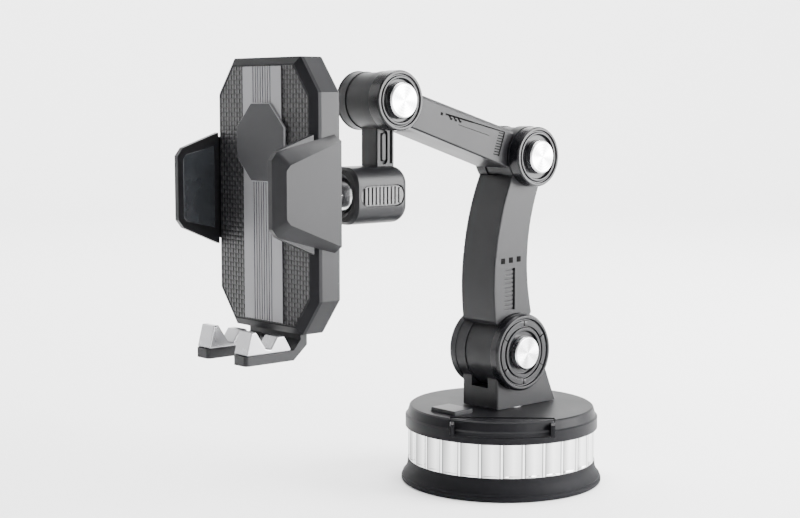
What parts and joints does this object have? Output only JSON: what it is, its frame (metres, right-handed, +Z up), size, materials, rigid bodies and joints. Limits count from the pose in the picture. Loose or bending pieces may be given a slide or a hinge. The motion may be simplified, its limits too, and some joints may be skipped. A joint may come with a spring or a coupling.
{
  "type": "car phone mount",
  "caption": "Suction-base phone mount with a swivelling three-hinge arm, a ball-jointed head and sliding side clamps.",
  "frame": {"origin": "centre of the suction face, on the surface it sticks to", "axes": "+Z up out of the surface it is stuck to; the phone side of the head faces -Y; the hinge lines run along X, with the bright discs on the +X side"},
  "size_m": [0.0905, 0.1984, 0.1867],
  "materials": {
    "satin_black": "satin moulded ABS",
    "weave_black": "fine woven texture",
    "inner_plastic": "plain moulded",
    "gloss_pad": "glossy soft pad",
    "silver_grey": "satin silver paint",
    "bright_silver": "bright satin metal",
    "steel": "zinc-plated",
    "cup_rubber": "matt rubber",
    "gel": "sticky gel"
  },
  "bodies": {
    "base": {"suction_cup": "cup_rubber", "gel_pad": "gel", "base_body": "inner_plastic", "fluted_ring": "bright_silver", "base_cap": "satin_black", "base_screws": "steel", "lever_pin": "steel", "stem_spring": "steel", "button_spring": "steel"},
    "stem": {"pull_stem": "inner_plastic", "lift_bar": "steel"},
    "lock_lever": {"lock_lever": "satin_black"},
    "swivel_button": {"swivel_button": "satin_black"},
    "turntable": {"turntable_fork": "satin_black", "turntable_washer": "steel", "turntable_nut": "steel", "shoulder_dial": "satin_black", "shoulder_disc": "bright_silver", "shoulder_bolt": "steel", "shoulder_spring_washers": "steel", "shoulder_nut": "steel", "shoulder_far_cap": "satin_black"},
    "lower_arm": {"lower_arm": "satin_black", "lower_arm_cover": "satin_black", "elbow_dial": "satin_black", "elbow_disc": "bright_silver", "elbow_bolt": "steel", "elbow_spring_washers": "steel", "elbow_nut": "steel", "elbow_far_cap": "satin_black"},
    "upper_arm": {"upper_arm": "satin_black", "upper_arm_cover": "satin_black", "wrist_dial": "satin_black", "wrist_disc": "bright_silver", "wrist_bolt": "steel", "wrist_spring_washers": "steel", "wrist_nut": "steel", "wrist_far_cap": "satin_black"},
    "neck": {"neck": "satin_black", "strut_inlay": "satin_black", "grip_inlays": "satin_black", "socket_nut": "satin_black"},
    "ball_liner": {"ball_liner": "inner_plastic"},
    "ball_stud": {"ball_stud": "bright_silver"},
    "head": {"head_shell": "satin_black", "head_bezel": "satin_black", "weave_panel": "weave_black", "ribbed_strip": "silver_grey", "badge_plate": "silver_grey", "head_screws": "steel", "clamp_spring": "steel", "release_spring": "steel"},
    "right_clamp": {"right_clamp_arm": "satin_black", "right_clamp_pad": "gloss_pad"},
    "left_clamp": {"left_clamp_arm": "satin_black", "left_clamp_pad": "gloss_pad"},
    "rack_pinion": {"rack_pinion": "inner_plastic"},
    "release_key": {"release_key": "satin_black"},
    "foot": {"foot_frame": "satin_black", "foot_cradles": "silver_grey"}
  },
  "joints": [
    {"name": "base_swivel", "type": "hinge", "parent": "base", "child": "turntable", "pos_m": [0, 0, 0.0342], "axis": [0, 0, 1], "range_deg": [-130, 130]},
    {"name": "lever_lift", "type": "hinge", "parent": "base", "child": "lock_lever", "pos_m": [0.02367, -0.02342, 0.0316], "axis": [-0.7034, -0.7108, 0], "range_deg": [0, 60]},
    {"name": "stem_drop", "type": "slide", "parent": "base", "child": "stem", "axis": [0, 0, -1], "range_m": [0, 0.0012], "deforming": ["stem_spring", "suction_cup"]},
    {"name": "swivel_button_press", "type": "slide", "parent": "base", "child": "swivel_button", "axis": [0, 0, -1], "range_m": [0, 0.0012], "stiffness_N_per_m": 300, "springref_m": -0.002, "deforming": ["button_spring"]},
    {"name": "shoulder_tilt", "type": "hinge", "parent": "turntable", "child": "lower_arm", "pos_m": [0, -0.0012, 0.0594], "axis": [1, 0, 0], "range_deg": [-75, 75]},
    {"name": "elbow_tilt", "type": "hinge", "parent": "lower_arm", "child": "upper_arm", "pos_m": [0, 0.00635, 0.14567], "axis": [-1, 0, 0], "range_deg": [-15, 95]},
    {"name": "wrist_tilt", "type": "hinge", "parent": "upper_arm", "child": "neck", "pos_m": [0, -0.07493, 0.17021], "axis": [-1, 0, 0], "range_deg": [-15, 100]},
    {"name": "head_yaw", "type": "hinge", "parent": "neck", "child": "ball_liner", "pos_m": [0, -0.08793, 0.13191], "axis": [0, 0, 1], "range_deg": [-20, 20]},
    {"name": "head_pitch", "type": "hinge", "parent": "ball_liner", "child": "ball_stud", "pos_m": [0, -0.08793, 0.13191], "axis": [1, 0, 0], "range_deg": [-20, 20]},
    {"name": "head_roll", "type": "hinge", "parent": "ball_stud", "child": "head", "pos_m": [0, -0.08793, 0.13191], "axis": [0, -1, 0], "continuous": true},
    {"name": "right_clamp_slide", "type": "slide", "parent": "head", "child": "right_clamp", "axis": [1, 0, 0], "range_m": [0, 0.014]},
    {"name": "left_clamp_slide", "type": "slide", "parent": "head", "child": "left_clamp", "axis": [-1, 0, 0], "range_m": [0, 0.014]},
    {"name": "pinion_turn", "type": "hinge", "parent": "head", "child": "rack_pinion", "pos_m": [0, -0.12453, 0.13491], "axis": [0, -1, 0], "range_deg": [0, 240]},
    {"name": "release_press", "type": "slide", "parent": "head", "child": "release_key", "axis": [1, 0, 0], "range_m": [0, 0.001], "stiffness_N_per_m": 300, "springref_m": -0.002, "deforming": ["release_spring"]},
    {"name": "foot_slide", "type": "slide", "parent": "head", "child": "foot", "axis": [0, 0, -1], "range_m": [0, 0.01]}
  ],
  "couplings": [
    {"joint": "lever_lift", "follows": "stem_drop", "rad_per_m": 872.66},
    {"joint": "left_clamp_slide", "follows": "right_clamp_slide", "ratio": 1},
    {"joint": "pinion_turn", "follows": "right_clamp_slide", "rad_per_m": 256.41}
  ]
}
